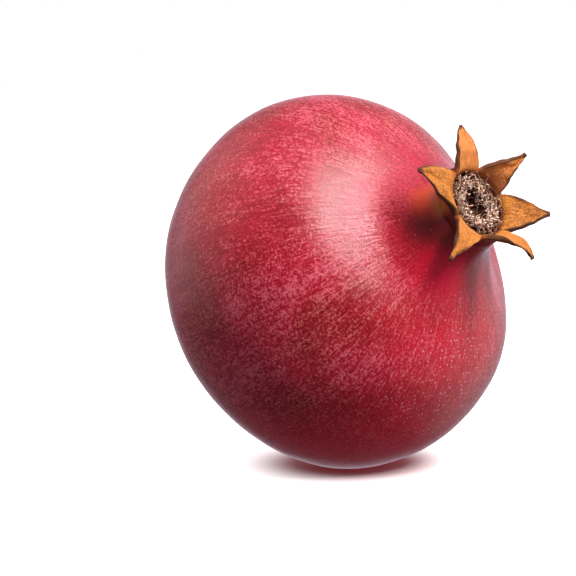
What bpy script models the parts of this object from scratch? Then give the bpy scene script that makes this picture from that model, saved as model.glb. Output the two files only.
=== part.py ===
"""A whole pomegranate, lying on its side with its crown raised towards +X.

The origin is on the small flat spot that the fruit rests on, and +Z is up.
Every piece is shaped in the fruit's own frame, where +Z runs from the stem end to the
crown and the origin is the middle of the body. One empty tilts them all into place.
"""

import math
import random

import bmesh
import bpy
from mathutils import Matrix, Vector

MM = 0.001
GAP = 0.3 * MM

# How the fruit lies: its axis rises from the ground, and this is where its middle is.
AXIS_TILT = math.radians(25.8)
BODY_CENTRE = Vector((-3.7, 0.5, 46.9)) * MM

# The cheek it lies on bulges a little, and the ground cuts that bulge level.
FOOT_BULGE = 1.6 * MM
FOOT_BULGE_AT = Vector((-6.2, 0.5)) * MM
FOOT_SPREAD = 14.0 * MM

# The body is a little flatter than a ball, and is drawn out into a short neck.
EQUATOR_RADIUS = 47.5 * MM
POLE_HEIGHT = 40.0 * MM
SHOULDER_RADIUS = 27.2 * MM
SHOULDER_PULL = 10.0 * MM
NECK_PULL = 7.5 * MM
NECK_FLARE = 0.13
RIM_RADIUS = 10.3 * MM
RIM_HEIGHT = 48.8 * MM
RIM_WALL = 2.1 * MM
RIM_ROUNDING = 0.5 * MM
CUP_DEPTH = 8.0 * MM
CUP_WAIST_DEPTH = CUP_DEPTH * 0.55
CUP_FLOOR_RADIUS = 6.4 * MM
CUP_FLOOR_FLAT = CUP_FLOOR_RADIUS * 0.75
CUP_FLOOR_ROUNDING = 0.9 * MM
STEM_DIMPLE_DEPTH = 1.8 * MM
STEM_DIMPLE_WIDTH = 7.0 * MM

# Slow swellings round the axis: how many per round, their share of the radius, and the
# angle of one in degrees. The lean is fullest near the crown, and turns round at the stem.
BODY_SWELLINGS = ((2, 0.017, -10.8), (5, 0.0037, 35.0))
BODY_LEAN = (0.0276, 133.0)
NECK_RIBS = (6, 0.022, 2.0)
NECK_RIBS_START = 0.75 * POLE_HEIGHT
NECK_RIBS_FADE = 0.45 * POLE_HEIGHT

# One side of the shoulder is flattened: how far it drops, its angle and how narrow it is.
FLAT_SHOULDER_DROP = 7.0 * MM
FLAT_SHOULDER_ANGLE = 89.0
FLAT_SHOULDER_POWER = 7
FLAT_SHOULDER_FADE = 10.0 * MM

# The crown: a ring on the rim of the neck, and the six sepals that it splits into.
RING_RADIUS = 9.15 * MM
RING_WALL = 1.8 * MM
RING_HEIGHT = 2.2 * MM
RING_OUTER_ROUNDING = 0.6 * MM
RING_INNER_ROUNDING = 0.4 * MM
CROWN_HEIGHT = RIM_HEIGHT + GAP + RING_HEIGHT
SEPAL_ROOT_DEPTH = 1.5 * MM
SEPAL_ROOT_THICKNESS = 1.53 * MM
SEPAL_BASE_THICKNESS = 1.7 * MM
SEPAL_TIP_THICKNESS = 0.8 * MM
SEPAL_TIP_SHARE = 0.09
SEPAL_NARROWING = 0.86
SEPAL_CURVE_PULL = 0.42
SEPAL_SETTLING = 0.4

# One line for each sepal, with angles in degrees: the middle of its base and half its width
# round the ring, then its tip's angle round the ring, its radius and its height over the
# ring in mm, how far it leans out at its base and at its tip, how full its outline is, and
# how far its edges are turned up in mm.
SEPALS = (
    (-111.4, 37.5, -119.0, 19.7, 0.3, 45.0, 125.0, 2.0, -1.0),
    (-177.6, 26.0, -176.4, 18.8, 3.7, 40.0, 75.0, 3.2, 0.6),
    (128.5, 26.0, 123.6, 15.5, 8.3, 25.0, 45.0, 1.4, 0.8),
    (65.9, 35.0, 67.6, 17.4, 6.7, 35.0, 50.0, 1.8, 1.0),
    (4.6, 24.5, 14.6, 17.9, 6.3, 5.0, 100.0, 1.6, 0.3),
    (-46.5, 25.0, -47.4, 18.3, -2.6, 80.0, 112.0, 1.3, -0.2),
)

# The dried stamens: a mound that fills the cup round a pit, with threads standing out of it.
MOUND_TOP = CROWN_HEIGHT - 1.2 * MM
MOUND_CREST_RADIUS = 5.2 * MM
PIT_RADIUS = 2.2 * MM
PIT_DEPTH = 5.0 * MM
MOUND_FALL = 1.2 * MM
MOUND_WALL_GAP = GAP + 0.25 * MM
MOUND_SHOULDER_DEPTH = 0.8 * MM
THREAD_COUNT = 90
THREAD_RADIUS = 0.42 * MM
ANTHER_RADIUS = 0.62 * MM
THREAD_SIDES = 4
THREAD_STEPS = 4
THREAD_ROOT_DEPTH = 1.2 * MM
THREAD_END_RADIUS = THREAD_RADIUS * 0.8
THREAD_LENGTH = (2.2 * MM, 3.8 * MM)
THREAD_TURN = (50.0, 115.0)
THREAD_LIMIT = RING_RADIUS - RING_WALL / 2 - GAP - ANTHER_RADIUS
THREAD_FEET_LIMIT = THREAD_LIMIT - 1.0 * MM
GOLDEN_ANGLE = math.pi * (3 - math.sqrt(5))
THREAD_SEED = 11

# The stub of the cut stem, in the dimple at the other end.
STUB_RADIUS = 2.3 * MM
STUB_FOOT_RADIUS = 3.3 * MM
STUB_LENGTH = 4.2 * MM
STUB_END_ROUNDING = 0.5 * MM

# How finely each round piece is divided.
ROUND_STEPS = 60
BODY_RINGS = 26
NECK_RINGS = 9
CROWN_STEPS = 48
MOUND_STEPS = 28
STUB_STEPS = 20

SKIN_RED = (0.50, 0.035, 0.055, 1.0)
SEPAL_ORANGE = (0.50, 0.20, 0.045, 1.0)
STAMEN_TAN = (0.42, 0.25, 0.16, 1.0)
STUB_BROWN = (0.22, 0.13, 0.07, 1.0)


def clear_scene():
    for old in list(bpy.data.objects):
        bpy.data.objects.remove(old)


def material(name, colour, roughness):
    made = bpy.data.materials.new(name)
    made.use_nodes = True
    shader = made.node_tree.nodes["Principled BSDF"]
    shader.inputs["Base Color"].default_value = colour
    shader.inputs["Roughness"].default_value = roughness
    shader.inputs["Metallic"].default_value = 0.0
    return made


def node(name, bm, finish, carrier):
    """One named object from a bmesh, shaded smooth and carried by the tilted empty."""
    mesh = bpy.data.meshes.new(name)
    bm.to_mesh(mesh)
    bm.free()
    mesh.materials.append(finish)
    mesh.shade_smooth()
    mesh.set_sharp_from_angle(angle=math.radians(50))
    made = bpy.data.objects.new(name, mesh)
    bpy.context.scene.collection.objects.link(made)
    made.parent = carrier
    return made


def tilted_empty():
    carrier = bpy.data.objects.new("fruit_axis", None)
    carrier.location = BODY_CENTRE
    carrier.rotation_euler = (0.0, math.pi / 2 - AXIS_TILT, 0.0)
    bpy.context.scene.collection.objects.link(carrier)
    return carrier


def radial(angle):
    return Vector((math.cos(angle), math.sin(angle), 0.0))


def ease(share):
    """0 to 1 with a level start and a level end."""
    share = min(max(share, 0.0), 1.0)
    return share * share * (3.0 - 2.0 * share)


def bezier(p0, p1, p2, p3, share):
    rest = 1.0 - share
    return (
        p0 * rest**3
        + p1 * (3 * rest**2 * share)
        + p2 * (3 * rest * share**2)
        + p3 * share**3
    )


def spun(outline, steps):
    """A bmesh turned about the fruit's axis from an outline of (radius, height) points."""
    bm = bmesh.new()
    corners = [bm.verts.new((radius, 0.0, height)) for radius, height in outline]
    edges = [bm.edges.new(pair) for pair in zip(corners, corners[1:])]
    if outline[0][0] > 0:
        edges.append(bm.edges.new((corners[-1], corners[0])))
    bmesh.ops.spin(
        bm,
        geom=corners + edges,
        cent=(0, 0, 0),
        axis=(0, 0, 1),
        angle=2 * math.pi,
        steps=steps,
        use_merge=True,
    )
    bmesh.ops.remove_doubles(bm, verts=bm.verts[:], dist=0.001 * MM)
    bmesh.ops.recalc_face_normals(bm, faces=bm.faces[:])
    return bm


def body_point(angle):
    """A point of the body's outline, at an angle from the crown's pole."""
    radius = EQUATOR_RADIUS * math.sin(angle)
    height = POLE_HEIGHT * math.cos(angle)
    if height < 0:
        height += STEM_DIMPLE_DEPTH * math.exp(-((radius / STEM_DIMPLE_WIDTH) ** 2))
    return Vector((radius, height))


def fruit_outline():
    """From the stem's pole up the body and the neck, over the rim and down into the cup."""
    shoulder_angle = math.asin(SHOULDER_RADIUS / EQUATOR_RADIUS)
    swept = math.pi - shoulder_angle
    outline = [
        body_point(math.pi - swept * ring / BODY_RINGS) for ring in range(BODY_RINGS)
    ]
    outline[0].x = 0.0
    shoulder = body_point(shoulder_angle)
    uphill = Vector(
        (-EQUATOR_RADIUS * math.cos(shoulder_angle), POLE_HEIGHT * math.sin(shoulder_angle))
    ).normalized()
    rim = Vector((RIM_RADIUS, RIM_HEIGHT - RIM_ROUNDING))
    flare = Vector((NECK_FLARE, -1.0)) * NECK_PULL
    outline += [
        bezier(
            shoulder,
            shoulder + uphill * SHOULDER_PULL,
            rim + flare,
            rim,
            ring / NECK_RINGS,
        )
        for ring in range(NECK_RINGS + 1)
    ]
    inner = RIM_RADIUS - RIM_WALL
    floor = RIM_HEIGHT - CUP_DEPTH
    outline += [
        Vector((RIM_RADIUS - RIM_ROUNDING, RIM_HEIGHT)),
        Vector((inner + RIM_ROUNDING, RIM_HEIGHT)),
        Vector((inner, RIM_HEIGHT - RIM_ROUNDING)),
        Vector(((inner + CUP_FLOOR_RADIUS) / 2, RIM_HEIGHT - CUP_WAIST_DEPTH)),
        Vector((CUP_FLOOR_RADIUS, floor + CUP_FLOOR_ROUNDING)),
        Vector((CUP_FLOOR_FLAT, floor)),
        Vector((0.0, floor)),
    ]
    return outline


def swell(co):
    """Moves a point of the turned body a little, so that it isn't a perfect round."""
    angle = math.atan2(co.y, co.x)
    radius = math.hypot(co.x, co.y)
    share = (radius / EQUATOR_RADIUS) ** 2
    size, start = BODY_LEAN
    change = share * size * co.z / POLE_HEIGHT * math.cos(angle - math.radians(start))
    for turns, size, start in BODY_SWELLINGS:
        change += share * size * math.cos(turns * (angle - math.radians(start)))
    turns, size, start = NECK_RIBS
    near_neck = ease((co.z - NECK_RIBS_START) / NECK_RIBS_FADE)
    change += near_neck * size * math.cos(turns * (angle - math.radians(start)))
    aside = math.cos(angle - math.radians(FLAT_SHOULDER_ANGLE)) / 2 + 0.5
    across = min(max((radius - RIM_RADIUS) / (EQUATOR_RADIUS - RIM_RADIUS), 0.0), 1.0)
    drop = FLAT_SHOULDER_DROP * aside**FLAT_SHOULDER_POWER * (4 * across * (1 - across)) ** 2
    drop *= ease(co.z / FLAT_SHOULDER_FADE)
    return Vector((co.x * (1 + change), co.y * (1 + change), co.z - drop))


def fruit_to_ground():
    return Matrix.Translation(BODY_CENTRE) @ Matrix.Rotation(math.pi / 2 - AXIS_TILT, 4, "Y")


def fruit(carrier):
    """The body, its neck and the cup in the neck, cut level where it rests."""
    bm = spun(fruit_outline(), ROUND_STEPS)
    to_ground = fruit_to_ground()
    to_fruit = to_ground.inverted()
    for vert in bm.verts:
        place = to_ground @ swell(vert.co)
        if place.z < BODY_CENTRE.z:
            apart = (place.xy - FOOT_BULGE_AT).length / FOOT_SPREAD
            place.z -= FOOT_BULGE * math.exp(-(apart**2))
        vert.co = to_fruit @ place
    cut = bmesh.ops.bisect_plane(
        bm,
        geom=bm.verts[:] + bm.edges[:] + bm.faces[:],
        dist=0.0001 * MM,
        plane_co=to_fruit @ Vector((0, 0, 0)),
        plane_no=to_fruit.to_3x3() @ Vector((0, 0, -1)),
        clear_outer=True,
    )
    rim = [edge for edge in cut["geom_cut"] if isinstance(edge, bmesh.types.BMEdge)]
    bmesh.ops.contextual_create(bm, geom=rim)
    bmesh.ops.recalc_face_normals(bm, faces=bm.faces[:])
    return node("fruit", bm, material("pomegranate_skin", SKIN_RED, 0.4), carrier)


def blade(rows, thickness):
    """A closed bmesh from the rows of points of a blade's middle, and its thickness there."""
    bm = bmesh.new()
    last_row, last = len(rows) - 1, len(rows[0]) - 1
    faces = []
    for side in (0.5, -0.5):
        grid = []
        for i, row in enumerate(rows):
            line = []
            for j, point in enumerate(row):
                along = rows[min(i + 1, last_row)][j] - rows[max(i - 1, 0)][j]
                across = row[min(j + 1, last)] - row[max(j - 1, 0)]
                normal = across.cross(along).normalized()
                line.append(bm.verts.new(point + normal * thickness[i] * side))
            grid.append(line)
        faces.append(grid)
    upper, lower = faces
    for i in range(last_row):
        for j in range(last):
            for grid in faces:
                corners = (grid[i][j], grid[i][j + 1], grid[i + 1][j + 1], grid[i + 1][j])
                # Both faces are split along the same diagonal, so that they can't cross.
                bm.faces.new((corners[0], corners[1], corners[2]))
                bm.faces.new((corners[0], corners[2], corners[3]))
    edge = [(0, j) for j in range(last + 1)]
    edge += [(i, last) for i in range(1, last_row + 1)]
    edge += [(last_row, j) for j in range(last - 1, -1, -1)]
    edge += [(i, 0) for i in range(last_row - 1, 0, -1)]
    for (i, j), (k, m) in zip(edge, edge[1:] + edge[:1]):
        bm.faces.new((upper[i][j], upper[k][m], lower[k][m], lower[i][j]))
    bmesh.ops.recalc_face_normals(bm, faces=bm.faces[:])
    return bm


def sepal(shape, rows=9, columns=6):
    """One pointed lobe of the crown: its base follows the ring, and its tip curls as told."""
    middle, half, tip_angle, tip_radius, tip_rise, lean, tip_lean, fullness, turn_up = shape
    middle, half, tip_angle = (math.radians(x) for x in (middle, half, tip_angle))
    lean, tip_lean = math.radians(lean), math.radians(tip_lean)
    up = Vector((0, 0, 1))
    base = radial(middle) * RING_RADIUS + up * CROWN_HEIGHT
    tip = radial(tip_angle) * tip_radius * MM + up * (CROWN_HEIGHT + tip_rise * MM)
    reach = (tip - base).length * SEPAL_CURVE_PULL
    base_pull = base + (radial(middle) * math.sin(lean) + up * math.cos(lean)) * reach
    tip_pull = tip - (radial(tip_angle) * math.sin(tip_lean) + up * math.cos(tip_lean)) * reach
    half_width = RING_RADIUS * math.sin(half) * SEPAL_NARROWING
    middle_rows, thickness = [], []
    root = [
        radial(middle + half * w) * RING_RADIUS + up * (CROWN_HEIGHT - SEPAL_ROOT_DEPTH)
        for w in (2 * j / columns - 1 for j in range(columns + 1))
    ]
    middle_rows.append(root)
    thickness.append(SEPAL_ROOT_THICKNESS)
    for i in range(rows + 1):
        share = i / rows
        centre = bezier(base, base_pull, tip_pull, tip, share)
        ahead = bezier(base, base_pull, tip_pull, tip, min(share + 0.02, 1.0))
        behind = bezier(base, base_pull, tip_pull, tip, max(share - 0.02, 0.0))
        along = (ahead - behind).normalized()
        side_angle = middle + (tip_angle - middle) * share + math.pi / 2
        side = radial(side_angle)
        side = (side - along * side.dot(along)).normalized()
        inward = side.cross(along).normalized()
        if inward.dot(radial(middle) * math.cos(lean) - up * math.sin(lean)) > 0:
            inward = -inward
        width = half_width * max(1.0 - share**fullness, SEPAL_TIP_SHARE)
        settle = ease(share / SEPAL_SETTLING)
        row = []
        for j in range(columns + 1):
            w = 2 * j / columns - 1
            on_ring = radial(middle + half * w) * RING_RADIUS + up * CROWN_HEIGHT
            on_ring += along * (centre - base).length
            curl = turn_up * MM * (w * w - 0.3) * math.sin(math.pi * min(share + 0.15, 1.0))
            on_blade = centre + side * width * w + inward * curl
            row.append(on_ring.lerp(on_blade, settle))
        middle_rows.append(row)
        thinning = (SEPAL_BASE_THICKNESS - SEPAL_TIP_THICKNESS) * share
        thickness.append(SEPAL_BASE_THICKNESS - thinning)
    return blade(middle_rows, thickness)


def tidy_union(mesh):
    """Drops the slivers that crossing parts leave, and the walls of hollows they close off."""
    bm = bmesh.new()
    bm.from_mesh(mesh)
    bmesh.ops.triangulate(bm, faces=bm.faces[:])
    left, shells = set(bm.faces), []
    while left:
        shell, fresh = [], [left.pop()]
        while fresh:
            face = fresh.pop()
            shell.append(face)
            beside = {other for edge in face.edges for other in edge.link_faces} & left
            left -= beside
            fresh.extend(beside)
        shells.append(shell)
    shells.sort(key=len)
    for shell in shells[:-1]:
        bmesh.ops.delete(bm, geom=shell, context="FACES")
    bm.to_mesh(mesh)
    bm.free()


def joined(target, parts, solver):
    """Unites loose closed solids with the target object, and removes them."""
    pile = bpy.data.collections.new(target.name + "_parts")
    bpy.context.scene.collection.children.link(pile)
    for index, bm in enumerate(parts):
        mesh = bpy.data.meshes.new(f"{target.name}_part_{index}")
        bm.to_mesh(mesh)
        bm.free()
        pile.objects.link(bpy.data.objects.new(mesh.name, mesh))
    union = target.modifiers.new("union", "BOOLEAN")
    union.operation = "UNION"
    union.operand_type = "COLLECTION"
    union.collection = pile
    union.solver = solver
    # The parts are in the same frame as the target, so they are united before it is carried.
    bpy.context.view_layer.update()
    graph = bpy.context.evaluated_depsgraph_get()
    mesh = bpy.data.meshes.new_from_object(target.evaluated_get(graph))
    target.modifiers.remove(union)
    tidy_union(mesh)
    target.data = mesh
    for part in list(pile.objects):
        bpy.data.objects.remove(part)
    bpy.data.collections.remove(pile)


def crown(carrier):
    """The ring that sits on the neck's rim, with the six sepals growing out of it."""
    low = RIM_HEIGHT + GAP
    inner, outer = RING_RADIUS - RING_WALL / 2, RING_RADIUS + RING_WALL / 2
    outline = [
        (outer, low),
        (outer, CROWN_HEIGHT - RING_OUTER_ROUNDING),
        (outer - RING_OUTER_ROUNDING, CROWN_HEIGHT),
        (inner + RING_INNER_ROUNDING, CROWN_HEIGHT),
        (inner, CROWN_HEIGHT - RING_INNER_ROUNDING),
        (inner, low),
    ]
    ring = spun(outline, CROWN_STEPS)
    made = node("crown", ring, material("dry_sepal", SEPAL_ORANGE, 0.7), None)
    joined(made, [sepal(shape) for shape in SEPALS], "EXACT")
    made.parent = carrier
    return made


def thread(points, radii, sides):
    """A closed thread with flat ends, from its points and its radius at each."""
    bm = bmesh.new()
    rings = []
    side = None
    for index, (point, radius) in enumerate(zip(points, radii)):
        along = points[min(index + 1, len(points) - 1)] - points[max(index - 1, 0)]
        along.normalize()
        side = along.orthogonal() if side is None else side
        side = (side - along * side.dot(along)).normalized()
        other = along.cross(side)
        turns = [2 * math.pi * k / sides for k in range(sides)]
        rings.append(
            [
                bm.verts.new(point + (side * math.cos(a) + other * math.sin(a)) * radius)
                for a in turns
            ]
        )
    for first, second in zip(rings, rings[1:]):
        for k in range(sides):
            nxt = (k + 1) % sides
            bm.faces.new((first[k], first[nxt], second[nxt], second[k]))
    bm.faces.new(rings[0][::-1])
    bm.faces.new(rings[-1])
    bmesh.ops.recalc_face_normals(bm, faces=bm.faces[:])
    return bm


def mound_height(radius):
    """The top of the mound of stamens: a round crest that falls into a pit at the middle."""
    if radius < MOUND_CREST_RADIUS:
        share = ease((radius - PIT_RADIUS * 0.5) / (MOUND_CREST_RADIUS - PIT_RADIUS * 0.5))
        return MOUND_TOP - PIT_DEPTH * (1 - share)
    outward = (radius - MOUND_CREST_RADIUS) / (RING_RADIUS - MOUND_CREST_RADIUS)
    return MOUND_TOP - MOUND_FALL * outward**2


def stamen_thread(rng, index):
    """One dried stamen: it rises from the mound, curls over and ends in a thicker anther."""
    angle = index * GOLDEN_ANGLE
    share = (index + 0.5) / THREAD_COUNT
    inmost, outmost = PIT_RADIUS + THREAD_RADIUS, THREAD_FEET_LIMIT
    radius = math.sqrt(inmost**2 + (outmost**2 - inmost**2) * share)
    foot = radial(angle) * radius + Vector((0, 0, mound_height(radius) - THREAD_ROOT_DEPTH))
    turn = math.radians(rng.uniform(*THREAD_TURN))
    curl = rng.uniform(*THREAD_LENGTH) / turn
    aside = radial(rng.uniform(0, 2 * math.pi))
    while ((foot + aside * curl * (1 - math.cos(turn))).xy).length > THREAD_LIMIT:
        aside = radial(rng.uniform(0, 2 * math.pi))
    points, radii = [foot], [THREAD_RADIUS]
    for step in range(THREAD_STEPS + 1):
        share = step / THREAD_STEPS
        over = share * turn
        rise = THREAD_ROOT_DEPTH + curl * math.sin(over)
        points.append(foot + aside * curl * (1 - math.cos(over)) + Vector((0, 0, rise)))
        radii.append(THREAD_RADIUS + (ANTHER_RADIUS - THREAD_RADIUS) * ease(share * 3 - 1.6))
    radii[-1] = THREAD_END_RADIUS
    return thread(points, radii, THREAD_SIDES)


def stamens(carrier):
    """The mound of dried stamens in the cup, with their curled ends standing out of it."""
    throat = RING_RADIUS - RING_WALL / 2 - GAP
    wall = min(RIM_RADIUS - RIM_WALL - MOUND_WALL_GAP, throat)
    floor = RIM_HEIGHT - CUP_DEPTH + GAP
    foot = CUP_FLOOR_RADIUS - MOUND_WALL_GAP
    outline = [
        Vector((0.0, floor)),
        Vector((CUP_FLOOR_FLAT - GAP, floor)),
        Vector((foot, floor + CUP_FLOOR_ROUNDING)),
        Vector(((wall + foot) / 2, RIM_HEIGHT - CUP_WAIST_DEPTH)),
        Vector((wall, RIM_HEIGHT - MOUND_SHOULDER_DEPTH)),
        Vector((wall, mound_height(throat))),
    ]
    for share in (0.88, 0.76, 0.62, 0.5, 0.4, 0.3, 0.2, 0.1):
        outline.append(Vector((throat * share, mound_height(throat * share))))
    outline.append(Vector((0.0, mound_height(0.0))))
    mound = spun(outline, MOUND_STEPS)
    made = node("stamens", mound, material("dry_stamen", STAMEN_TAN, 0.85), None)
    rng = random.Random(THREAD_SEED)
    joined(made, [stamen_thread(rng, index) for index in range(THREAD_COUNT)], "MANIFOLD")
    made.parent = carrier
    return made


def stem_stub(carrier):
    """The woody stub of the cut stem, whose foot follows the floor of the dimple."""
    floor = -POLE_HEIGHT + STEM_DIMPLE_DEPTH - GAP
    end = floor - STUB_LENGTH
    outline = [
        Vector((0.0, end)),
        Vector((STUB_RADIUS - STUB_END_ROUNDING, end + 0.1 * STUB_END_ROUNDING)),
        Vector((STUB_RADIUS, end + STUB_END_ROUNDING)),
        Vector((STUB_RADIUS * 0.92, floor - STUB_LENGTH * 0.5)),
        Vector((STUB_RADIUS * 1.15, floor - STUB_LENGTH * 0.22)),
        Vector((STUB_FOOT_RADIUS, floor - STUB_LENGTH * 0.18)),
        Vector((STUB_FOOT_RADIUS * 0.9, floor - STUB_LENGTH * 0.08)),
        Vector((0.0, floor - STUB_LENGTH * 0.02)),
    ]
    bm = spun(outline, STUB_STEPS)
    return node("stem_stub", bm, material("cut_stem", STUB_BROWN, 0.8), carrier)


clear_scene()
axis_empty = tilted_empty()
fruit(axis_empty)
crown(axis_empty)
stamens(axis_empty)
stem_stub(axis_empty)
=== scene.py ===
import math
import random

import bpy
import numpy as np
from mathutils import Euler, Matrix, Vector, noise


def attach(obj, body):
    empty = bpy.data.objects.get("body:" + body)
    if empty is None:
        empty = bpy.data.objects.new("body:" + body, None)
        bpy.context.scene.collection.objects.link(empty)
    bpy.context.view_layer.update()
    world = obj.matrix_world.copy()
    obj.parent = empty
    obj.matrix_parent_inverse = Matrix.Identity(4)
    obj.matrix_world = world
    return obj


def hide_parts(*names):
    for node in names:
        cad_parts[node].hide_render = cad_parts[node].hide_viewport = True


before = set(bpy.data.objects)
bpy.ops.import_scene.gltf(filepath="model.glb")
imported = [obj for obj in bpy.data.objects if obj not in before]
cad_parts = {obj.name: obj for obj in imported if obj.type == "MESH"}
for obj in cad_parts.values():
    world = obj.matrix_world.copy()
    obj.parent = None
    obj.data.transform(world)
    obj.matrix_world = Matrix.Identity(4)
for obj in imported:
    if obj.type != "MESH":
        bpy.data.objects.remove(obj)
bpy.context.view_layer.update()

MM = 0.001

# The camera stands a little above the table, in front of the crown's right side, and looks
# slightly left of the fruit, so that the fruit sits right of the middle of the picture.
BODY_CENTRE = Vector((-3.7, 0.5, 46.9)) * MM
CAMERA_TURN = math.radians(44.69)
CAMERA_RISE = math.radians(7.0)
CAMERA_DISTANCE = 550 * MM
PIXELS_PER_MM = 3.92
PICTURE_PIXELS = 576
BODY_IN_PICTURE = (340.6, 279.5)

away = Vector((math.sin(CAMERA_TURN), -math.cos(CAMERA_TURN), 0)) * math.cos(CAMERA_RISE)
away.z = math.sin(CAMERA_RISE)
focal_pixels = PIXELS_PER_MM * CAMERA_DISTANCE / MM
bpy.ops.object.camera_add(location=BODY_CENTRE + away * CAMERA_DISTANCE)
camera = bpy.context.object
camera.data.lens = focal_pixels / PICTURE_PIXELS * camera.data.sensor_width
pan = math.atan((BODY_IN_PICTURE[0] - PICTURE_PIXELS / 2) / focal_pixels)
dip = math.atan((BODY_IN_PICTURE[1] - PICTURE_PIXELS / 2) / focal_pixels)
facing = away.to_track_quat("Z", "Y").to_matrix()
facing = facing @ Matrix.Rotation(pan, 3, "Y") @ Matrix.Rotation(dip, 3, "X")
camera.rotation_euler = facing.to_euler()
bpy.context.scene.camera = camera
bpy.context.scene.view_settings.view_transform = "Standard"


# A photographer's white table in a white surround. A tall, narrow soft box at the front right
# makes the broad highlight, one overhead lights the top, and a wide one at each side lifts the
# edges. The table glows white, but for the shadow round the spot where the fruit rests.
BACKDROP_RADIUS = 3.0
SHADOW_NEAR, SHADOW_FAR = 13 * MM, 31 * MM
SHADOW_TINT = (0.85, 0.66, 0.66, 1)
GLOW_COLOUR = (0.92, 0.86, 1, 1)
GLOW_BEHIND, GLOW_FRONT, GLOW_ABOVE, GLOW_EVERYWHERE = 0.95, 0.10, 0.22, 0.11
SOFT_BOXES = (
    # turn to the camera's right and rise in degrees, distance, width and height in metres, watts
    (43.0, 50.0, 0.70, 0.12, 0.44, 6.3),
    (60.0, 80.0, 0.90, 0.90, 0.90, 2.0),
    (108.0, 0.0, 0.80, 1.60, 1.60, 3.5),
    (-106.0, 25.0, 0.80, 1.10, 1.10, 2.3),
)


class Shade:
    """A socket in a material. Sums written on it add Math nodes, and node() adds any other."""

    def __init__(self, tree, socket):
        self.tree, self.socket = tree, socket

    def node(self, kind, settings=None, sockets=None, output=0):
        made = self.tree.nodes.new("ShaderNode" + kind)
        for name, value in (settings or {}).items():
            setattr(made, name, value)
        for name, value in (sockets or {}).items():
            if isinstance(value, Shade):
                self.tree.links.new(value.socket, made.inputs[name])
            else:
                made.inputs[name].default_value = value
        return Shade(self.tree, made.outputs[output])

    def sum(self, operation, first, second):
        return self.node("Math", {"operation": operation}, {0: first, 1: second})

    def __add__(self, other):
        return self.sum("ADD", self, other)

    def __sub__(self, other):
        return self.sum("SUBTRACT", self, other)

    def __rsub__(self, other):
        return self.sum("SUBTRACT", other, self)

    def __mul__(self, other):
        return self.sum("MULTIPLY", self, other)

    def __truediv__(self, other):
        return self.sum("DIVIDE", self, other)

    def __pow__(self, other):
        return self.sum("POWER", self, other)

    __radd__ = __add__
    __rmul__ = __mul__

    def between(self, low, high):
        """0 where this is under low, rising smoothly to 1 where it is over high."""
        ends = {"Value": self, "From Min": low, "From Max": high}
        return self.node("MapRange", {"interpolation_type": "SMOOTHSTEP"}, ends)

    def blend(self, plain, full):
        """A colour that goes from plain to full as this goes from 0 to 1."""
        return self.node("Mix", {"data_type": "RGBA"}, {0: self, 6: plain, 7: full}, output=2)


def new_material(name):
    """A material, its tree's Object coordinates to start from, and its surface shader."""
    material = bpy.data.materials.new(name)
    material.use_nodes = True
    tree = material.node_tree
    place = Shade(tree, tree.nodes.new("ShaderNodeTexCoord").outputs["Object"])
    return material, place, tree.nodes["Principled BSDF"]


def connect(shader, sockets):
    """Links or sets the surface shader's sockets, by name."""
    for name, value in sockets.items():
        socket = shader.inputs[name]
        if isinstance(value, Shade):
            value.tree.links.new(value.socket, socket)
        else:
            socket.default_value = value


bpy.ops.mesh.primitive_circle_add(vertices=64, radius=BACKDROP_RADIUS, fill_type="NGON")
floor = bpy.context.object
floor.name = "white_table"
floor.visible_diffuse = floor.visible_glossy = floor.visible_shadow = False
table_white, place, surface = new_material("table_white")
distance = place.node("VectorMath", {"operation": "LENGTH"}, {0: place}, output=1)
lit = distance.between(SHADOW_NEAR, SHADOW_FAR)
connect(surface, {"Base Color": SHADOW_TINT, "Roughness": 0.9, "Specular IOR Level": 0.0,
                  "Emission Color": lit.blend((0, 0, 0, 1), (1, 1, 1, 1)),
                  "Emission Strength": 1.0})
floor.data.materials.append(table_white)

bpy.ops.mesh.primitive_ico_sphere_add(subdivisions=4, radius=BACKDROP_RADIUS * 1.2)
backdrop = bpy.context.object
backdrop.name = "white_backdrop"
backdrop.visible_diffuse = backdrop.visible_glossy = backdrop.visible_shadow = False
backdrop_white, place, surface = new_material("backdrop_white")
connect(surface, {"Base Color": (0, 0, 0, 1), "Specular IOR Level": 0.0,
                  "Emission Color": (1, 1, 1, 1), "Emission Strength": 1.0})
backdrop.data.materials.append(backdrop_white)

surround = bpy.data.worlds.new("white_surround")
bpy.context.scene.world = surround
surround.use_nodes = True
tree = surround.node_tree
outward = Shade(tree, tree.nodes.new("ShaderNodeTexCoord").outputs["Generated"])
front = outward.node("VectorMath", {"operation": "DOT_PRODUCT"}, {0: outward, 1: away}, output=1)
height = outward.node("SeparateXYZ", None, {0: outward}, output=2)
glow = GLOW_FRONT + (1 - front.between(-1.0, -0.88)) * (GLOW_BEHIND - GLOW_FRONT)
glow = glow * height.between(-1.0, -0.3) + height.between(0.0, 0.9) * GLOW_ABOVE
glow = glow + GLOW_EVERYWHERE
tree.links.new(glow.socket, tree.nodes["Background"].inputs["Strength"])
tree.nodes["Background"].inputs["Color"].default_value = GLOW_COLOUR

for turn, rise, distance, width, tall, watts in SOFT_BOXES:
    spin = Matrix.Rotation(math.radians(turn), 3, "Z")
    level = (spin @ Vector((away.x, away.y, 0)).normalized()) * math.cos(math.radians(rise))
    towards = level + Vector((0, 0, math.sin(math.radians(rise))))
    bpy.ops.object.light_add(type="AREA", location=BODY_CENTRE + towards * distance)
    box = bpy.context.object
    box.rotation_euler = towards.to_track_quat("Z", "Y").to_euler()
    box.data.shape = "RECTANGLE"
    box.data.size, box.data.size_y = width, tall
    box.data.energy = watts


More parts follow.
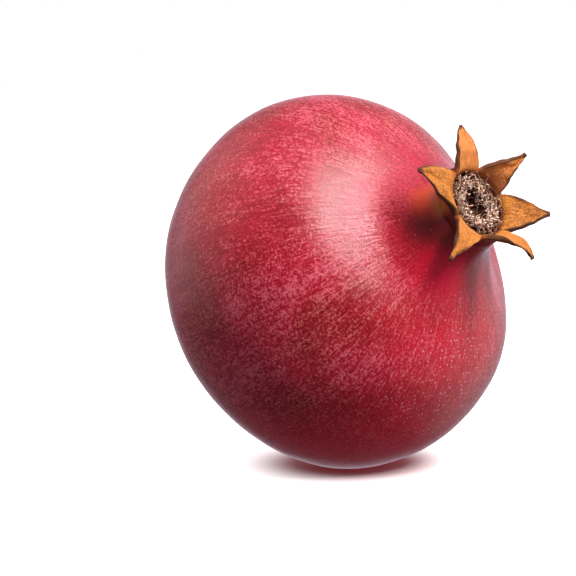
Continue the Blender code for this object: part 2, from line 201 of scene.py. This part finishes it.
# The fruit's body is one leathery skin, grown in one piece from the stem's dimple over the
# neck's rim and down into the cup. It is crimson, with shallow dents, streaks that run from
# pole to pole, a fine tan mottle, and pale specks where it breathes.
AXIS_TILT = math.radians(25.8)
LAID_OVER = Euler((0.0, math.pi / 2 - AXIS_TILT, 0.0))
WELD = 0.005 * MM
DENT_DEPTH = 0.22 * MM
DENT_LENGTH = 17 * MM
SMALL_DENTS, SMALL_DENT_SHARE = 2.7, 0.35
NO_DENTS_UNDER = 4 * MM


def pick_only(piece):
    bpy.ops.object.select_all(action="DESELECT")
    piece.select_set(True)
    bpy.context.view_layer.objects.active = piece


def smooth_copy(node, name, levels):
    """A copy of a CAD node, with its triangles paired up and subdivided smooth."""
    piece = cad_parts[node].copy()
    piece.data = piece.data.copy()
    piece.name = name
    piece.parent = None
    for key in list(piece.keys()):
        del piece[key]
    bpy.context.scene.collection.objects.link(piece)
    pick_only(piece)
    bpy.ops.object.mode_set(mode="EDIT")
    bpy.ops.mesh.select_all(action="SELECT")
    bpy.ops.mesh.remove_doubles(threshold=WELD)
    bpy.ops.mesh.tris_convert_to_quads(face_threshold=0.7, shape_threshold=0.9)
    bpy.ops.object.mode_set(mode="OBJECT")
    rounder = piece.modifiers.new("round", "SUBSURF")
    rounder.levels = rounder.render_levels = levels
    bpy.ops.object.modifier_apply(modifier="round")
    bpy.ops.object.shade_smooth()
    piece.data.materials.clear()
    return piece


# Where the shoulder turns up into the neck it is sunken, on the side under the two low sepals.
# In millimetres and degrees, upright about the fruit's axis, as all places on the skin are.
HOLLOW_DEPTH = 2.0
HOLLOW_RADIUS, HOLLOW_INNER, HOLLOW_OUTER = 21.0, 6.0, 12.0
HOLLOW_MIDDLE, HOLLOW_SPREAD = -83.0, 60.0
HOLLOW_FROM, HOLLOW_RISE = 8.0, 16.0


def ease(share):
    share = min(max(share, 0.0), 1.0)
    return share * share * (3 - 2 * share)


def hollow(upright):
    """How deep the shoulder is sunken at a place, in millimetres."""
    off = upright.xy.length - HOLLOW_RADIUS
    off /= HOLLOW_OUTER if off > 0 else HOLLOW_INNER
    aside = math.degrees(math.atan2(upright.y, upright.x)) - HOLLOW_MIDDLE
    aside = (aside + 180) % 360 - 180
    depth = HOLLOW_DEPTH * math.exp(-off * off - (aside / HOLLOW_SPREAD) ** 4)
    return depth * ease((upright.z - HOLLOW_FROM) / HOLLOW_RISE)


to_ground = Matrix.Translation(BODY_CENTRE) @ LAID_OVER.to_matrix().to_4x4()
skin = smooth_copy("fruit", "skin", 2)
to_upright = (to_ground @ Matrix.Scale(MM, 4)).inverted()
count = len(skin.data.vertices)
places, normals = np.empty(count * 3), np.empty(count * 3)
skin.data.vertices.foreach_get("co", places)
skin.data.vertices.foreach_get("normal", normals)
places, normals = places.reshape(-1, 3), normals.reshape(-1, 3)
for index, here in enumerate(places / DENT_LENGTH):
    dent = noise.noise(here) + SMALL_DENT_SHARE * noise.noise(here * SMALL_DENTS)
    clear_of_floor = min(places[index, 2] / NO_DENTS_UNDER, 1.0)
    sunken = dent * DENT_DEPTH * clear_of_floor
    sunken += hollow(to_upright @ Vector(places[index])) * MM
    places[index] -= normals[index] * sunken
skin.data.vertices.foreach_set("co", places.ravel())


def along_the_axis(place):
    """Millimetres across and along the fruit's own axis, from the middle of its body."""
    return place.node(
        "Mapping",
        {"vector_type": "TEXTURE"},
        {"Vector": place, "Location": BODY_CENTRE, "Rotation": LAID_OVER, "Scale": [MM] * 3},
    )


def noise_on(place, scale, detail=2.0, roughness=0.5):
    settings = {"Vector": place, "Scale": scale, "Detail": detail, "Roughness": roughness}
    return place.node("TexNoise", None, settings)


def near(place, spot, reach, ragged):
    """1 at a spot, given in millimetres, fading raggedly to 0 at the given reach from it."""
    far = place.node("VectorMath", {"operation": "DISTANCE"}, {0: place, 1: spot}, output=1)
    return 1 - (far + ragged * 3.0 - 1.5).between(0.0, reach)


# Where the skin has ripened evenly and shows less mottle: the place, its reach, how much.
RIPE_SPOTS = (
    ((31.0, -8.0, 23.0), 36.0, 1.0),
    ((4.0, -14.0, 40.0), 13.0, 1.0),
    ((-10.0, -36.0, 20.0), 24.0, 1.2),
    ((-31.0, -27.0, 18.0), 17.0, 1.3),
)
# Painted light in the reds under the mottle: a brighter red where the crown's shadow falls below
# the neck, on the right side and on the left flank, and a painted pink sheen high on the shoulder.
# Each is a place, its reach, how much of its red shows, and that red.
PAINTED_LIGHT_REDS = (
    ((6.0, -13.0, 40.0), 14.0, 0.9, (0.62, 0.0010, 0.018, 1)),
    ((30.0, 0.0, 28.0), 34.0, 0.65, (0.90, 0.0020, 0.030, 1)),
    ((-22.0, -40.0, -6.0), 36.0, 0.8, (0.56, 0.0006, 0.014, 1)),
    ((-21.0, -3.0, 35.0), 26.0, 0.4, (0.62, 0.050, 0.105, 1)),
)
# Near the crown the skin is orange and olive brown. The other spots are painted light: painted
# shade on the neck under two sepals and in the crack between them, and a brighter painted red
# below the neck where the crown's shadow falls.
NECK_TINTS_AND_PAINTED_LIGHT = (
    ((2.5, -12.0, 44.0), 8.0, (0.14, 0.001, 0.001, 1)),
    ((13.0, -8.0, 40.0), 10.0, (0.95, 0.004, 0.045, 1)),
    ((-4.5, -10.8, 46.0), 7.0, (0.80, 0.070, 0.006, 1)),
    ((-1.2, -10.2, 48.9), 4.6, (0.46, 0.14, 0.012, 1)),
    ((7.0, -9.0, 48.0), 7.0, (0.20, 0.02, 0.008, 1)),
    ((2.1, -9.9, 48.6), 1.7, (0.03, 0.008, 0.005, 1)),
    ((2.8, -9.0, 51.0), 2.6, (0.03, 0.008, 0.005, 1)),
)
# The underside, from the table up, is painted a brighter red: painted bounce light from the table.
BOUNCE_LIT_FROM, BOUNCE_LIT_TO = 4 * MM, 24 * MM


def neck_tinted_and_painted_light(colour, place, ragged):
    for spot, reach, tint in NECK_TINTS_AND_PAINTED_LIGHT:
        # Each spot blends in an orange or olive tint, painted shade or a painted brighter red.
        colour = (near(place, spot, reach, ragged) * 0.9).blend(colour, tint)
    return colour


def specks_on(place, scale, share, size):
    """Pale dots scattered over the skin: one in each lucky cell, softly edged."""
    sockets = {"Vector": place, "Scale": scale}
    distance = place.node("TexVoronoi", None, sockets, output=0)
    draw = place.node("TexVoronoi", None, sockets, output=1)
    luck = draw.node("SeparateColor", None, {0: draw}, output=0)
    return (1 - distance.between(size * 0.4, size)) * luck.between(1 - share, 1.15 - share)


rind, place, surface = new_material("pomegranate_rind")
upright = along_the_axis(place)
x, y, z = (upright.node("SeparateXYZ", None, {0: upright}, output=i) for i in range(3))
off_axis = (x * x + y * y) ** 0.5 + 0.01
slope = z.node("Math", {"operation": "ARCTAN2"}, {0: z * 1.18, 1: off_axis})
wrapped = x.node("CombineXYZ", None, {0: x / off_axis, 1: y / off_axis, 2: slope * 0.16})
bands = noise_on(wrapped, 8.0, 3.0)
streaks = noise_on(wrapped, 30.0, 4.0, 0.6)
clouds = noise_on(upright, 0.06, 3.0)
blots = noise_on(upright, 0.35, 4.0, 0.65)
stipple = noise_on(upright, 1.5, 3.0, 0.8)
fibres = noise_on(wrapped, 85.0, 2.0)
ground_height = place.node("SeparateXYZ", None, {0: place}, output=2)
bounce_lit_underside = 1 - ground_height.between(BOUNCE_LIT_FROM, BOUNCE_LIT_TO)
neck = z.between(33.0, 40.0)
zone = bands * 0.9 + clouds * 1.1 + streaks * 0.8 + blots * 0.7 - 1.75
mottle = (stipple - 0.5) * 11.0 + (fibres - 0.5) * 2.5 + zone * 2.8
ripe = sum(near(upright, spot, reach, blots) * much for spot, reach, much in RIPE_SPOTS)
pale = (mottle - ripe * 0.65).between(0.02, 0.95) * (1 - neck * 0.9) * (1 - bounce_lit_underside * 0.8)

red = clouds.between(0.38, 0.62).blend((0.25, 0.0003, 0.007, 1), (0.40, 0.0006, 0.017, 1))
# Painted light: the red is brightened in these spots, and turned pink as a painted sheen in one.
for spot, reach, much, painted_red in PAINTED_LIGHT_REDS:
    red = (near(upright, spot, reach, blots) * much).blend(red, painted_red)
# Painted bounce light: the red is brighter on the underside, near the table.
red = (bounce_lit_underside * 0.9).blend(red, (1.0, 0.0040, 0.035, 1))
grain = (stipple * 0.7 + fibres * 0.3).between(0.38, 0.62)
red = (grain * 0.3).blend(red, (1.0, 0.055, 0.095, 1))
red = ((1 - grain) * 0.3).blend(red, (0.11, 0.0002, 0.003, 1))
rose = clouds.between(0.42, 0.6).blend((0.62, 0.15, 0.105, 1), (0.74, 0.13, 0.18, 1))
colour = (pale * 0.64).blend(red, rose)
streaked = z.between(14.0, 26.0) * (1 - z.between(36.0, 41.0))
fine_lines = (fibres * 0.6 + streaks * 0.4).between(0.50, 0.64)
colour = (fine_lines * streaked * 0.1).blend(colour, (0.88, 0.36, 0.40, 1))
# Orange and olive tints near the crown, with painted shade under two sepals and a painted brighter
# red below the neck.
colour = neck_tinted_and_painted_light(colour, upright, blots)
cork = blots.blend((0.20, 0.06, 0.03, 1), (0.50, 0.26, 0.14, 1))
round_stem = near(upright, (0.0, 0.0, -39.5), 9.0, blots)
colour = (round_stem * 0.8).blend(colour, cork)
speckled_side = near(upright, (36.0, 2.0, 24.0), 36.0, blots)
specks = specks_on(upright, 0.62, 0.35, 0.2) * 0.35
specks = specks + specks_on(upright, 1.25, 0.4, 0.36) * speckled_side * 1.2
colour = specks.between(0.0, 1.3).blend(colour, (1.0, 0.50, 0.56, 1))

wrinkles = noise_on(wrapped, 60.0, 2.0) * z.between(20.0, 32.0) * (1 - z.between(34.0, 39.0))
height = stipple * 0.7 + blots * 0.3 + specks * 0.2 + wrinkles * 0.8
bump = height.node("Bump", None, {"Height": height, "Strength": 0.45, "Distance": 0.4 * MM})
connect(surface, {"Base Color": colour, "Roughness": 0.21 + pale * 0.05, "Normal": bump,
                  "Specular IOR Level": 0.5})
skin.data.materials.append(rind)
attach(skin, "root")
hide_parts("fruit")


# The crown is the dried calyx: a short ring grown on the neck's rim that splits into six
# pointed sepals, each a leathery blade as thick as card, curled as it dried. Its sizes are in
# millimetres, upright about the fruit's axis, until the finished crown is laid over.
RING_RADIUS = 9.15
RING_WALL = 1.8
RING_FOOT = 48.6
CROWN_HEIGHT = 51.3
SEPAL_ROOT = 0.12
SEPAL_THICKNESS = (1.5, 0.75)
SEPAL_WIDTHS = (0.86, 0.07)
SEPAL_GRID = (22, 44)
ROOT_DEPTH = 2.4
CURVE_PULL = 0.42
VEIN_DEPTH, CRINKLE_DEPTH, WAVER_WIDTH = 0.16, 0.7, 0.35
RING_STEPS = 96
SEPALS = (
    # middle and half its width in degrees round the ring; the tip's angle, radius and rise;
    # how far the base and the tip lean out; how full the blade is; how its edges turn up;
    # how much painted shade darkens its root inside; how pink it is
    (-111.4, 37.5, -119.0, 19.7, 0.3, 45.0, 125.0, 2.0, -1.0, 0.15, 0.1),
    (-177.6, 26.0, -176.4, 18.8, 3.7, 40.0, 75.0, 3.2, 0.6, 0.1, 0.95),
    (128.5, 26.0, 123.6, 15.5, 8.3, 25.0, 45.0, 1.4, 0.8, 0.65, 0.75),
    (65.9, 35.0, 67.6, 17.4, 6.7, 35.0, 50.0, 1.8, 1.0, 0.1, 0.0),
    (4.6, 24.5, 14.6, 17.9, 6.3, 5.0, 100.0, 1.6, 0.3, 0.1, 0.5),
    (-46.5, 25.0, -47.4, 18.3, -2.6, 80.0, 112.0, 1.3, -0.2, 0.0, 0.35),
)
UP = Vector((0, 0, 1))


def around(degrees):
    return Vector((math.cos(math.radians(degrees)), math.sin(math.radians(degrees)), 0))


def curve_point(ends, share):
    """A point on the cubic curve from the first of four points to the last."""
    first, second, third, last = ends
    rest = 1 - share
    return (first * rest**3 + second * 3 * rest**2 * share
            + third * 3 * rest * share**2 + last * share**3)


def sepal_point(shape, lobe, across, along):
    """The middle of a sepal's thickness, -1 to 1 across it and 0 to 1 from root to tip."""
    middle, half, tip_angle, tip_radius, tip_rise, lean, tip_lean, fullness, turn_up = shape[:9]
    on_ring = around(middle + half * across) * RING_RADIUS + UP * CROWN_HEIGHT
    if along < SEPAL_ROOT:
        return on_ring - UP * ROOT_DEPTH * (1 - along / SEPAL_ROOT)
    share = (along - SEPAL_ROOT) / (1 - SEPAL_ROOT)
    base = around(middle) * RING_RADIUS + UP * CROWN_HEIGHT
    tip = around(tip_angle) * tip_radius + UP * (CROWN_HEIGHT + tip_rise)
    pull = (tip - base).length * CURVE_PULL
    lean, tip_lean = math.radians(lean), math.radians(tip_lean)
    ends = (base, base + (around(middle) * math.sin(lean) + UP * math.cos(lean)) * pull,
            tip - (around(tip_angle) * math.sin(tip_lean) + UP * math.cos(tip_lean)) * pull, tip)
    centre = curve_point(ends, share)
    forward = curve_point(ends, min(share + 0.02, 1)) - curve_point(ends, max(share - 0.02, 0))
    forward.normalize()
    side = around(middle + (tip_angle - middle) * share + 90)
    side = (side - forward * side.dot(forward)).normalized()
    inward = side.cross(forward).normalized()
    if inward.dot(around(middle) * math.cos(lean) - UP * math.sin(lean)) > 0:
        inward = -inward
    width = RING_RADIUS * math.sin(math.radians(half)) * SEPAL_WIDTHS[0]
    width *= max(1 - share**fullness, SEPAL_WIDTHS[1])
    curl = turn_up * (across * across - 0.3) * math.sin(math.pi * min(share + 0.15, 1.0))
    veins = noise.noise((across * 5.0, share * 1.6, lobe * 9.0)) * VEIN_DEPTH
    crinkle = noise.noise((across * 1.4 + 5, share * 3.4, lobe * 7.0)) * CRINKLE_DEPTH
    waver = noise.noise((lobe * 5.0, share * 6.0, across)) * WAVER_WIDTH
    crinkle, waver = crinkle * ease(share * 3), waver * ease(share * 3)
    on_blade = centre + side * (width * across + waver) + inward * (curl + veins + crinkle)
    return (on_ring + forward * (centre - base).length).lerp(on_blade, ease(share / 0.4))


def store(mesh, name, values):
    """Keeps one number for each point of a mesh, for a material to read."""
    mesh.attributes.new(name, "FLOAT", "POINT").data.foreach_set("value", values)


def sepal(lobe, shape):
    """One sepal, from a grid that is bent to its curve, given its thickness and rounded."""
    bpy.ops.object.select_all(action="DESELECT")
    bpy.ops.mesh.primitive_grid_add(x_subdivisions=SEPAL_GRID[0], y_subdivisions=SEPAL_GRID[1])
    blade = bpy.context.object
    mesh = blade.data
    across = [vertex.co.x for vertex in mesh.vertices]
    along = [(vertex.co.y + 1) / 2 for vertex in mesh.vertices]
    store(mesh, "across", across)
    store(mesh, "along", along)
    store(mesh, "lobe", [float(lobe)] * len(across))
    store(mesh, "root_shade", [shape[9]] * len(across))
    store(mesh, "pink", [shape[10]] * len(across))
    thick = blade.vertex_groups.new(name="thick")
    for vertex in mesh.vertices:
        x, y = across[vertex.index], along[vertex.index]
        thinning = ease(y) * (1 - SEPAL_THICKNESS[1] / SEPAL_THICKNESS[0])
        thick.add([vertex.index], 1 - thinning, "REPLACE")
        vertex.co = sepal_point(shape, lobe, x, y)
    outer_count = len(mesh.vertices)
    wall = blade.modifiers.new("wall", "SOLIDIFY")
    wall.thickness = SEPAL_THICKNESS[0]
    wall.offset = 0
    wall.vertex_group = "thick"
    bpy.ops.object.modifier_apply(modifier="wall")
    inner_count = len(blade.data.vertices) - outer_count
    store(blade.data, "outer", [1.0] * outer_count + [0.0] * inner_count)
    rounder = blade.modifiers.new("round", "SUBSURF")
    rounder.levels = rounder.render_levels = 1
    bpy.ops.object.modifier_apply(modifier="round")
    bpy.ops.object.mode_set(mode="EDIT")
    bpy.ops.mesh.select_all(action="SELECT")
    bpy.ops.mesh.normals_make_consistent(inside=False)
    bpy.ops.object.mode_set(mode="OBJECT")
    return blade


def turned(name, outline, steps):
    """A closed round body from its outline of radius and height, spun about the axis."""
    bpy.ops.object.select_all(action="DESELECT")
    bpy.ops.mesh.primitive_plane_add(size=1)
    body = bpy.context.object
    body.name = name
    body.data.clear_geometry()
    points = [(radius, 0, height) for radius, height in outline]
    body.data.from_pydata(points, [(i, i + 1) for i in range(len(points) - 1)], [])
    bpy.ops.object.mode_set(mode="EDIT")
    bpy.ops.mesh.select_all(action="SELECT")
    bpy.ops.mesh.spin(steps=steps, angle=2 * math.pi, center=(0, 0, 0), axis=(0, 0, 1))
    bpy.ops.mesh.select_all(action="SELECT")
    bpy.ops.mesh.remove_doubles(threshold=0.01)
    bpy.ops.mesh.normals_make_consistent(inside=False)
    bpy.ops.object.mode_set(mode="OBJECT")
    return body


def join_as(name, pieces):
    """Joins the pieces into one, shaded smooth, and lays it over from upright to the ground."""
    pick_only(pieces[0])
    for piece in pieces:
        piece.select_set(True)
    bpy.ops.object.join()
    made = bpy.context.object
    made.name = name
    made.vertex_groups.clear()
    bpy.ops.object.shade_smooth()
    made.data.transform(to_ground @ Matrix.Scale(MM, 4))
    return made


inner, outer = RING_RADIUS - RING_WALL / 2, RING_RADIUS + RING_WALL / 2
ring = turned("ring", [
    (outer + 0.15, RING_FOOT), (outer + 0.1, CROWN_HEIGHT - 1.4), (outer, CROWN_HEIGHT - 0.6),
    (outer - 0.5, CROWN_HEIGHT), (inner + 0.4, CROWN_HEIGHT), (inner, CROWN_HEIGHT - 0.4),
    (inner, RING_FOOT + 0.5), (inner + 0.5, RING_FOOT), (outer + 0.15, RING_FOOT)], RING_STEPS)
ring_points = ring.data.vertices
store(ring.data, "outer", [float(vertex.co.xy.length > RING_RADIUS) for vertex in ring_points])
# The ring's inside is painted dark: painted shade down in the crown's cup.
store(ring.data, "root_shade", [0.8] * len(ring_points))
crown = join_as("crown", [sepal(lobe, shape) for lobe, shape in enumerate(SEPALS)] + [ring])


def stored(material, name):
    tree = material.node_tree
    read = tree.nodes.new("ShaderNodeAttribute")
    read.attribute_name = name
    return Shade(tree, read.outputs["Fac"])


dry_sepal, place, surface = new_material("dry_sepal")
upright = along_the_axis(place)
across, along, lobe, outside, root_shade, pink = (
    stored(dry_sepal, name) for name in
    ("across", "along", "lobe", "outer", "root_shade", "pink"))
axial = upright.node("SeparateXYZ", None, {0: upright}, output=2)
lengthwise = across.node("CombineXYZ", None, {0: across * 9, 1: along * 4, 2: lobe * 3})
fibres = noise_on(lengthwise, 1.6, 5.0, 0.7)
blotch = noise_on(upright, 0.28, 4.0, 0.6)
grit = noise_on(upright, 2.0, 4.0, 0.75)
tint = (fibres * 1.0 + blotch * 0.8 + grit * 1.2 - 1.0).between(0.25, 0.75)
ochre = tint.blend((0.245, 0.064, 0.006, 1), (0.73, 0.245, 0.027, 1))
flecks = specks_on(upright, 1.7, 0.5, 0.36) + (fibres - 0.5).between(0.06, 0.2) * 0.8
ochre = (flecks * 0.4).blend(ochre, (0.92, 0.50, 0.16, 1))
ochre = (pink * 0.6).blend(ochre, (0.92, 0.30, 0.085, 1))
# Painted shade: each sepal's inner face and the ring's inside darken towards the root, down in the
# crown's cup.
root = (1 - (along + grit * 0.1 - root_shade * 0.12).between(0.12, 0.55)) * (1 - outside) * root_shade
colour = (root.between(0.0, 1.1)).blend(ochre, (0.16, 0.030, 0.013, 1))
flank = (1 - (along + blotch * 0.3).between(0.2, 0.62)) * outside
colour = (flank * 0.85).blend(colour, (0.36, 0.075, 0.020, 1))
skinward = (1 - (axial + blotch * 2.5).between(51.6, 54.0)) * outside
# The sepals' feet take the skin's red with the neck's tints, painted shade and painted light.
skin_red_and_painted_light = neck_tinted_and_painted_light((0.30, 0.004, 0.014, 1), upright, blotch)
colour = skinward.blend(colour, skin_red_and_painted_light)
edge = (across * across) ** 3
rim = (edge + along.between(0.84, 1.0) * 0.9 + grit * 0.5 - 0.25).between(0.35, 0.75)
colour = (rim * along.between(0.1, 0.25) * 0.85).blend(colour, (0.055, 0.020, 0.010, 1))
height = fibres * 0.6 + grit * 0.6
bump = height.node("Bump", None, {"Height": height, "Strength": 0.8, "Distance": 0.4 * MM})
connect(surface, {"Base Color": colour, "Roughness": 0.5 + tint * 0.2, "Normal": bump,
                  "Specular IOR Level": 0.3})
crown.data.materials.clear()
crown.data.materials.append(dry_sepal)
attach(crown, "root")
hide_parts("crown")


# The dried stamens fill the cup inside the crown, grown from its wall: a felted brown mound
# with a hollow at its middle, curly threads all over it, and clumps of pale, fuzzy anthers
# round the hollow.
MOUND_TOP = 50.4
MOUND_SAG = 0.5
FELT_DEPTH = 0.7
FELT_FROM = 44.5
WAVE_HEIGHT, WAVES_PER_MM = 0.6, 1.3
MOUND_CREST = 5.7
PIT_RADIUS = 3.2
PIT_DEPTH = 5.0
THROAT = 7.9
CUP_FLOOR = 41.3
THREAD_SIDES = 5
THREAD_STEPS = 9
THREAD_RADIUS, STOUT_RADIUS = 0.11, 0.12
ANTHER_FROM = 0.7
CURLY, CLUMPS, IN_CLUMP, IN_PIT = 400, 32, 11, 140
CURLY_FROM, CURLY_TO = 4.8, 7.7


def mound_height(radius):
    if radius < MOUND_CREST:
        share = ease((radius - PIT_RADIUS * 0.6) / (MOUND_CREST - PIT_RADIUS * 0.6))
        return MOUND_TOP - PIT_DEPTH * (1 - share)
    return MOUND_TOP - MOUND_SAG * ((radius - MOUND_CREST) / (RING_RADIUS - MOUND_CREST)) ** 2


profile = [(0.0, CUP_FLOOR), (4.5, CUP_FLOOR), (5.9, 42.3), (6.7, 44.4), (THROAT, 48.0)]
profile += [(THROAT * share, mound_height(THROAT * share) - FELT_DEPTH) for share in
            (1.0, 0.9, 0.8, 0.7, 0.6, 0.5, 0.4, 0.3, 0.2, 0.1, 0.0)]
mound = turned("mound", profile, 72)
rounder = mound.modifiers.new("round", "SUBSURF")
rounder.levels = rounder.render_levels = 1
pick_only(mound)
bpy.ops.object.modifier_apply(modifier="round")
for vertex in mound.data.vertices:
    if vertex.co.z > FELT_FROM:
        vertex.co.z += noise.noise(vertex.co * WAVES_PER_MM) * WAVE_HEIGHT

dice = random.Random(5)
points, faces, tips, tones, fuzz = [], [], [], [], []


def add_thread(foot, lean, length, bend, radius, anther, tone, fuzzy):
    """A round thread that rises from its foot, curls over sideways and ends in an anther."""
    aside = around(dice.uniform(0, 360))
    start_up = (UP + lean).normalized()
    aside = (aside - start_up * aside.dot(start_up)).normalized()
    cross = start_up.cross(aside)
    curl = length / bend
    twist = dice.uniform(-0.35, 0.35) * length
    for step in range(THREAD_STEPS + 1):
        share = step / THREAD_STEPS
        over = share * bend
        spot = foot + aside * curl * (1 - math.cos(over)) + start_up * curl * math.sin(over)
        spot += cross * twist * share * share
        spot += start_up * 0.25 * length * share
        if spot.xy.length > THROAT + 0.1:
            spot.xy *= (THROAT + 0.1) / spot.xy.length
        forward = (aside * math.sin(over) + start_up * math.cos(over)).normalized()
        out = cross.cross(forward)
        thick = radius * (1 - 0.3 * share)
        if share > ANTHER_FROM:
            swell = (share - ANTHER_FROM) / (1 - ANTHER_FROM)
            thick += (anther - radius) * math.sin(swell * math.pi * 0.85)
        first = len(points)
        for side in range(THREAD_SIDES):
            turn = 2 * math.pi * side / THREAD_SIDES
            points.append(spot + (out * math.cos(turn) + cross * math.sin(turn)) * thick)
        tips.extend([share] * THREAD_SIDES)
        tones.extend([tone] * THREAD_SIDES)
        fuzz.extend([fuzzy] * THREAD_SIDES)
        for side in range(THREAD_SIDES if step else 0):
            after = (side + 1) % THREAD_SIDES
            faces.append((first - THREAD_SIDES + side, first - THREAD_SIDES + after,
                          first + after, first + side))
    faces.append(tuple(range(first, first + THREAD_SIDES)))
    root = first - THREAD_STEPS * THREAD_SIDES
    faces.append(tuple(range(root, root + THREAD_SIDES))[::-1])


def on_mound(degrees, radius, sink):
    return around(degrees) * radius + UP * (mound_height(radius) - sink)


for index in range(CURLY):
    radius = math.sqrt(dice.uniform(CURLY_FROM**2, CURLY_TO**2))
    foot = on_mound(dice.uniform(0, 360), radius, 0.9)
    lean = around(dice.uniform(0, 360)) * dice.uniform(0, 0.5)
    add_thread(foot, lean, dice.uniform(2.2, 4.6), math.radians(dice.uniform(110, 290)),
               THREAD_RADIUS, 0.19, dice.random() ** 2.2, 0.0)
for clump in range(CLUMPS):
    middle = on_mound(clump * 360 / CLUMPS + dice.uniform(-6, 6), dice.uniform(3.9, 5.9), 0.8)
    tall = dice.uniform(1.3, 2.3)
    for index in range(IN_CLUMP):
        foot = middle + around(dice.uniform(0, 360)) * dice.uniform(0.1, 0.55)
        lean = around(dice.uniform(0, 360)) * dice.uniform(0.1, 0.6)
        add_thread(foot, lean, tall * dice.uniform(0.7, 1.1), math.radians(dice.uniform(30, 120)),
                   THREAD_RADIUS, dice.uniform(0.18, 0.32), dice.uniform(0.5, 1.0), 1.0)
for index in range(IN_PIT):
    foot = on_mound(dice.uniform(0, 360), dice.uniform(0.2, 4.0), 0.8)
    add_thread(foot, Vector(), dice.uniform(1.6, 3.6), math.radians(dice.uniform(60, 200)),
               STOUT_RADIUS, 0.22, dice.uniform(0.0, 0.6) ** 1.5, 0.0)

threads_mesh = bpy.data.meshes.new("threads")
threads_mesh.from_pydata(points, [], faces)
threads = bpy.data.objects.new("threads", threads_mesh)
bpy.context.scene.collection.objects.link(threads)
store(threads_mesh, "tip", tips)
store(threads_mesh, "tone", tones)
store(threads_mesh, "fuzz", fuzz)
pick_only(threads)
bpy.ops.object.mode_set(mode="EDIT")
bpy.ops.mesh.select_all(action="SELECT")
bpy.ops.mesh.normals_make_consistent(inside=False)
bpy.ops.object.mode_set(mode="OBJECT")
stamens = join_as("stamens", [threads, mound])

dry_stamen, place, surface = new_material("dry_stamen")
upright = along_the_axis(place)
tip, tone, fuzzy = (stored(dry_stamen, name) for name in ("tip", "tone", "fuzz"))
grit = noise_on(upright, 1.6, 4.0, 0.7)
tan = tone.blend((0.16, 0.045, 0.020, 1), (0.86, 0.56, 0.36, 1))
pollen = tone.blend((0.58, 0.32, 0.21, 1), (1.0, 0.80, 0.68, 1))
tan = (fuzzy * tip.between(0.4, 0.8)).blend(tan, pollen)
felt = grit.blend((0.035, 0.009, 0.005, 1), (0.10, 0.030, 0.014, 1))
colour = (tip.between(0.02, 0.5)).blend(felt, tan)
bump = grit.node("Bump", None, {"Height": grit, "Strength": 0.6, "Distance": 0.3 * MM})
connect(surface, {"Base Color": colour, "Roughness": 0.75 + grit * 0.1, "Normal": bump})
stamens.data.materials.clear()
stamens.data.materials.append(dry_stamen)
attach(stamens, "root")
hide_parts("stamens")


# The stub of the stem in its dimple at the other end, as the fruit was cut from the tree: a
# short woody peg with grey-brown bark, split lengthwise, and a paler cut face.
CUT_END, CUT_EDGE = -42.4, 0.3
BARK_INSIDE, BARK_OUTSIDE = 1.6, 1.95
RING_PITCH = 9.0
stub = smooth_copy("stem_stub", "stem_stub_wood", 2)
wood, place, surface = new_material("cut_stem_wood")
upright = along_the_axis(place)
x, y, z = (upright.node("SeparateXYZ", None, {0: upright}, output=i) for i in range(3))
grain_place = x.node("CombineXYZ", None, {0: x * 2.2, 1: y * 2.2, 2: z * 0.5})
grain = noise_on(grain_place, 1.0, 5.0, 0.7)
bark = grain.between(0.3, 0.7).blend((0.07, 0.035, 0.02, 1), (0.27, 0.17, 0.10, 1))
off_axis = (x * x + y * y) ** 0.5
ringed = x.node("Math", {"operation": "SINE"}, {0: off_axis * RING_PITCH}) * 0.5 + 0.5
face = (ringed * 0.4 + grain * 0.6).blend((0.28, 0.17, 0.09, 1), (0.62, 0.46, 0.28, 1))
cut = 1 - z.between(CUT_END, CUT_END + CUT_EDGE)
inside = 1 - off_axis.between(BARK_INSIDE, BARK_OUTSIDE)
colour = (cut * inside).blend(bark, face)
bump = grain.node("Bump", None, {"Height": grain, "Strength": 0.7, "Distance": 0.4 * MM})
connect(surface, {"Base Color": colour, "Roughness": 0.7 + grain * 0.2, "Normal": bump})
stub.data.materials.append(wood)
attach(stub, "root")
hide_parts("stem_stub")
